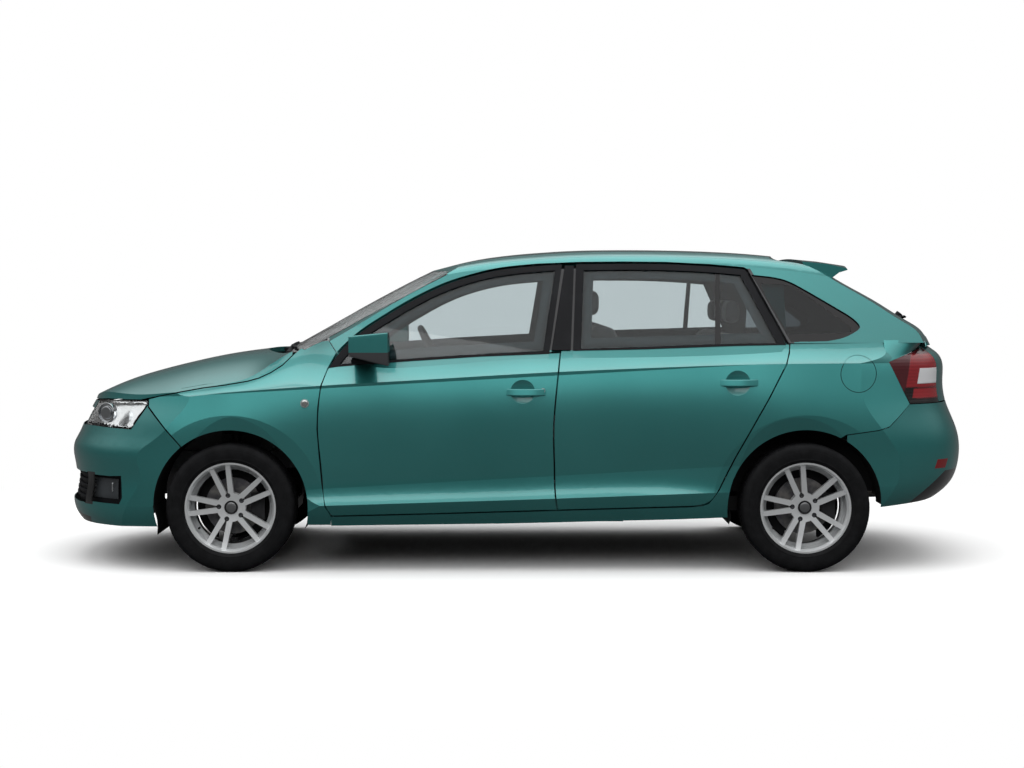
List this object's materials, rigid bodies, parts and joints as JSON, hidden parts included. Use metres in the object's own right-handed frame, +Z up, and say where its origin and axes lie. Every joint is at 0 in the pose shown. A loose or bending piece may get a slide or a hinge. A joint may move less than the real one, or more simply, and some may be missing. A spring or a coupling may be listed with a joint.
{
  "type": "compact hatchback car",
  "caption": "Five-door compact hatchback car with hinged doors, bonnet and tailgate, steered front wheels and a furnished hollow cabin.",
  "frame": {"origin": "on the ground under the middle of the car's overall box", "axes": "nose towards -X, driver's side towards -Y, +Z up"},
  "size_m": [4.2892, 1.944, 1.47],
  "materials": {
    "paint": "green metallic paint under clear coat",
    "black_trim": "satin black",
    "mirror_shell": "green painted shell on a black base",
    "tinted_glass": "lightly tinted, clear",
    "lamp_clear": "clear lens",
    "lamp_red": "red lens",
    "tyre": "black rubber",
    "alloy": "silver lacquered",
    "dark_metal": "dark",
    "primer": "satin grey primer",
    "bare_metal": "cast",
    "steel": "dull",
    "interior_plastic": "grained",
    "seat_fabric": "woven"
  },
  "bodies": {
    "body": {"arch_liners": "black_trim", "body_side_left": "paint", "body_side_right": "paint", "bulkhead": "primer", "cowl": "black_trim", "dashboard": "interior_plastic", "engine_block": "bare_metal", "exhaust": "steel", "floor_pan": "primer", "front_bumper": "paint", "front_fender_left": "paint", "front_fender_right": "paint", "front_seats": "seat_fabric", "front_structure": "primer", "front_subframe": "dark_metal", "front_wipers": "black_trim", "fuel_tank": "black_trim", "grille": "black_trim", "headlamps": "lamp_clear", "parcel_shelf": "interior_plastic", "pillar_cover_left": "black_trim", "pillar_cover_right": "black_trim", "quarter_windows": "tinted_glass", "radiator": "bare_metal", "rear_axle": "dark_metal", "rear_bumper": "paint", "rear_panel": "primer", "rear_seat": "seat_fabric", "roof_panel": "paint", "tail_lamps": "lamp_red", "windscreen": "tinted_glass"},
    "front_door_left": {"front_door_left": "paint", "front_door_trim_left": "black_trim", "front_door_glass_left": "tinted_glass", "door_mirror_left": "mirror_shell"},
    "rear_door_left": {"rear_door_left": "paint", "rear_door_trim_left": "black_trim", "rear_door_glass_left": "tinted_glass"},
    "knuckle_left": {"steering_knuckle_left": "dark_metal"},
    "front_wheel_left": {"front_tyre_left": "tyre", "front_rim_left": "alloy"},
    "rear_wheel_left": {"rear_tyre_left": "tyre", "rear_rim_left": "alloy"},
    "front_door_right": {"front_door_right": "paint", "front_door_trim_right": "black_trim", "front_door_glass_right": "tinted_glass", "door_mirror_right": "mirror_shell"},
    "rear_door_right": {"rear_door_right": "paint", "rear_door_trim_right": "black_trim", "rear_door_glass_right": "tinted_glass"},
    "knuckle_right": {"steering_knuckle_right": "dark_metal"},
    "front_wheel_right": {"front_tyre_right": "tyre", "front_rim_right": "alloy"},
    "rear_wheel_right": {"rear_tyre_right": "tyre", "rear_rim_right": "alloy"},
    "bonnet": {"bonnet": "paint"},
    "tailgate": {"tailgate": "paint", "tailgate_glass": "tinted_glass", "rear_wiper": "black_trim"},
    "steering_wheel": {"steering_wheel": "interior_plastic"}
  },
  "joints": [
    {"name": "steer_left", "type": "hinge", "parent": "body", "child": "knuckle_left", "pos_m": [-1.2932, -0.672, 0.15], "axis": [0, 0.1933, 0.9811], "range_deg": [-33, 33]},
    {"name": "front_wheel_left_spin", "type": "hinge", "parent": "knuckle_left", "child": "front_wheel_left", "pos_m": [-1.2932, -0.7285, 0.291], "axis": [0, 1, 0], "continuous": true},
    {"name": "rear_wheel_left_spin", "type": "hinge", "parent": "body", "child": "rear_wheel_left", "pos_m": [1.3088, -0.747, 0.291], "axis": [0, 1, 0], "continuous": true},
    {"name": "front_door_left_hinge", "type": "hinge", "parent": "body", "child": "front_door_left", "pos_m": [-0.7992, -0.824, 0.6], "axis": [0, 0, -1], "range_deg": [0, 65]},
    {"name": "rear_door_left_hinge", "type": "hinge", "parent": "body", "child": "rear_door_left", "pos_m": [0.2348, -0.824, 0.65], "axis": [0, 0, -1], "range_deg": [0, 65]},
    {"name": "steer_right", "type": "hinge", "parent": "body", "child": "knuckle_right", "pos_m": [-1.2932, 0.672, 0.15], "axis": [0, -0.1933, 0.9811], "range_deg": [-33, 33]},
    {"name": "front_wheel_right_spin", "type": "hinge", "parent": "knuckle_right", "child": "front_wheel_right", "pos_m": [-1.2932, 0.7285, 0.291], "axis": [0, 1, 0], "continuous": true},
    {"name": "rear_wheel_right_spin", "type": "hinge", "parent": "body", "child": "rear_wheel_right", "pos_m": [1.3088, 0.747, 0.291], "axis": [0, 1, 0], "continuous": true},
    {"name": "front_door_right_hinge", "type": "hinge", "parent": "body", "child": "front_door_right", "pos_m": [-0.7992, 0.824, 0.6], "axis": [0, 0, 1], "range_deg": [0, 65]},
    {"name": "rear_door_right_hinge", "type": "hinge", "parent": "body", "child": "rear_door_right", "pos_m": [0.2348, 0.824, 0.65], "axis": [0, 0, 1], "range_deg": [0, 65]},
    {"name": "bonnet_hinge", "type": "hinge", "parent": "body", "child": "bonnet", "pos_m": [-1.0012, 0, 0.985], "axis": [0, 1, 0], "range_deg": [0, 55]},
    {"name": "tailgate_hinge", "type": "hinge", "parent": "body", "child": "tailgate", "pos_m": [1.2848, 0, 1.422], "axis": [0, -1, 0], "range_deg": [0, 80]},
    {"name": "steering_wheel_turn", "type": "hinge", "parent": "body", "child": "steering_wheel", "pos_m": [-0.3732, -0.35, 0.943], "axis": [0.892, 0, 0.452], "range_deg": [-500, 500]}
  ],
  "couplings": [
    {"joint": "steer_right", "follows": "steer_left", "ratio": 1},
    {"joint": "steering_wheel_turn", "follows": "steer_left", "ratio": 15}
  ]
}
